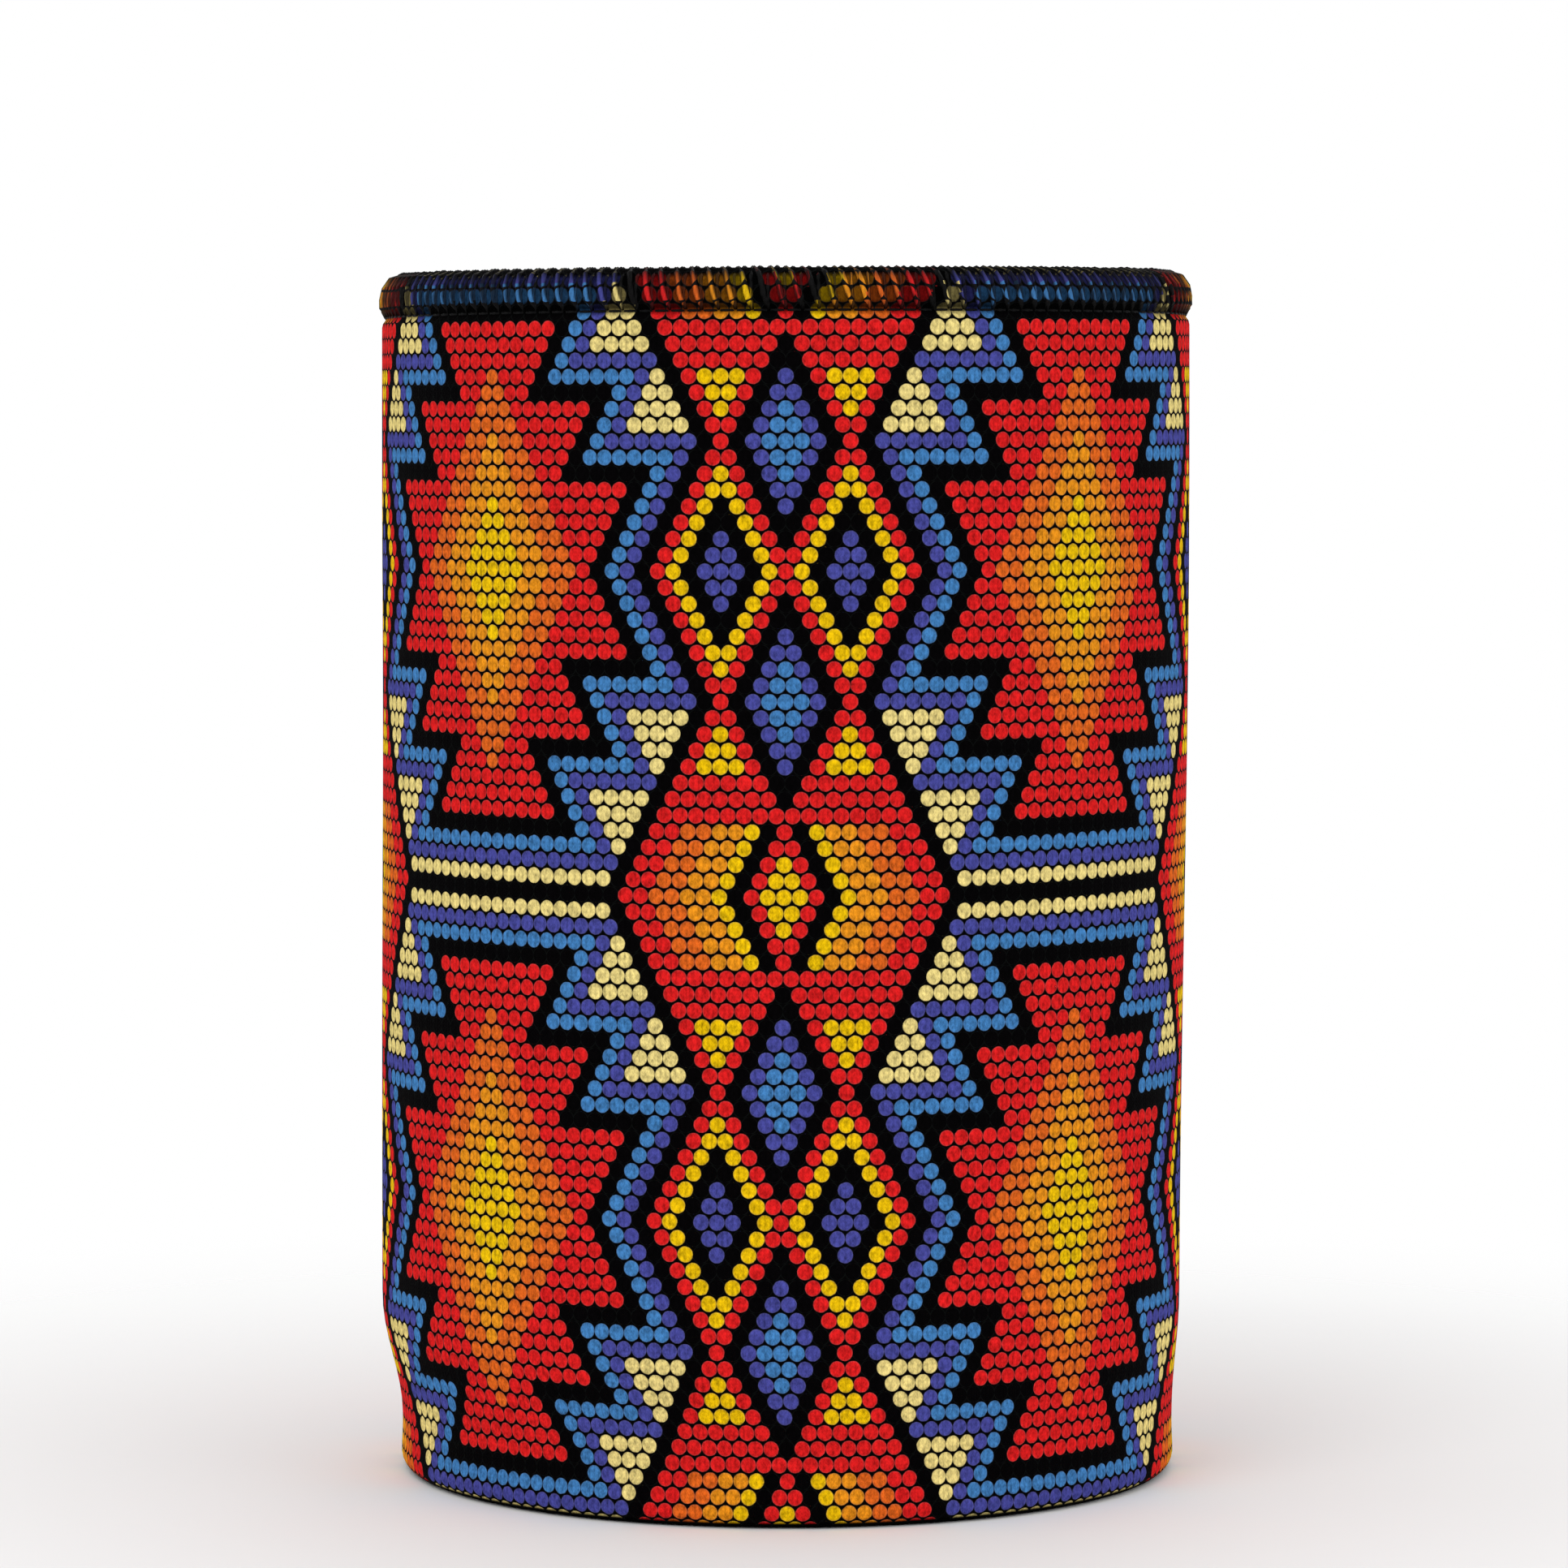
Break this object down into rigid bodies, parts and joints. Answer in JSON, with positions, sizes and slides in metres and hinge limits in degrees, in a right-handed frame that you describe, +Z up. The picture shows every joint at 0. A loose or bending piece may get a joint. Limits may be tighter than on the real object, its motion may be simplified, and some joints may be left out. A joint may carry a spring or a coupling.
{
  "type": "soft can cooler sleeve",
  "caption": "Soft foam can cooler with a closed base, an overlocked rim and a printed jersey cover that shows a beadwork pattern of diamonds and steps",
  "frame": {"origin": "middle of the base's underside, which stands on the table", "axes": "+Z up through the open mouth; -Y is the front of the print; the butt seam runs up the back at +Y"},
  "size_m": [0.077, 0.077, 0.113],
  "materials": {
    "printed_jersey": "matt knitted polyester, printed all over with round dots in red, orange, yellow, cream, blue and indigo on black",
    "foam": "matt closed-cell foam",
    "black_jersey": "matt black knitted polyester",
    "seam_tape": "black woven tape, bonded flat",
    "needle_thread": "tight black polyester sewing thread with a slight sheen",
    "printed_thread": "fluffy dark looper thread that carries the print's colours on its crests",
    "black_thread": "fluffy black looper thread"
  },
  "bodies": {
    "root": {"wall_cover": "printed_jersey", "wall_foam": "foam", "wall_lining": "black_jersey", "base_cover": "black_jersey", "base_foam": "foam", "base_lining": "black_jersey", "seam_tape": "seam_tape", "seam_needle_thread": "needle_thread", "seam_bobbin_thread": "needle_thread", "rim_needle_thread": "needle_thread", "rim_upper_looper_thread": "printed_thread", "rim_lower_looper_thread": "black_thread", "base_seam_thread": "needle_thread"}
  },
  "joints": []
}
